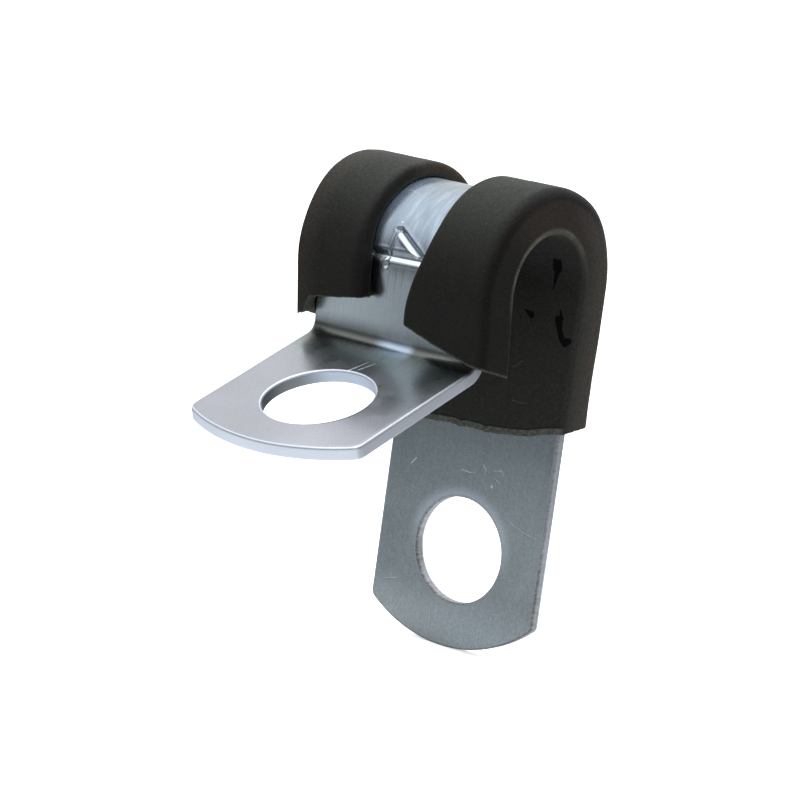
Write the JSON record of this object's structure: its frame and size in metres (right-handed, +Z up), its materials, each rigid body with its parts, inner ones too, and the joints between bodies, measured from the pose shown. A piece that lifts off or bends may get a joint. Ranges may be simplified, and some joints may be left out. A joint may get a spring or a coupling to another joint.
{
  "type": "p clip",
  "caption": "Cushioned P clip, sprung open: a flat metal band folded into a loop with two holed tabs, in a split rubber channel liner, to hold a small tube or cable.",
  "frame": {"origin": "centre of the straight tab's hole, on the tab's rear face, which is the face that seats on the surface behind it", "axes": "+X along the tube that the clip holds, +Y rearwards out of the mounting face, +Z up from the straight tab towards the loop"},
  "size_m": [0.0148, 0.0231, 0.0306],
  "materials": {
    "band_metal": "zinc plated, fine rolled grain, satin",
    "liner_rubber": "matt extruded synthetic rubber"
  },
  "bodies": {
    "root": {"metal_band": "band_metal", "rubber_liner": "liner_rubber"}
  },
  "joints": []
}
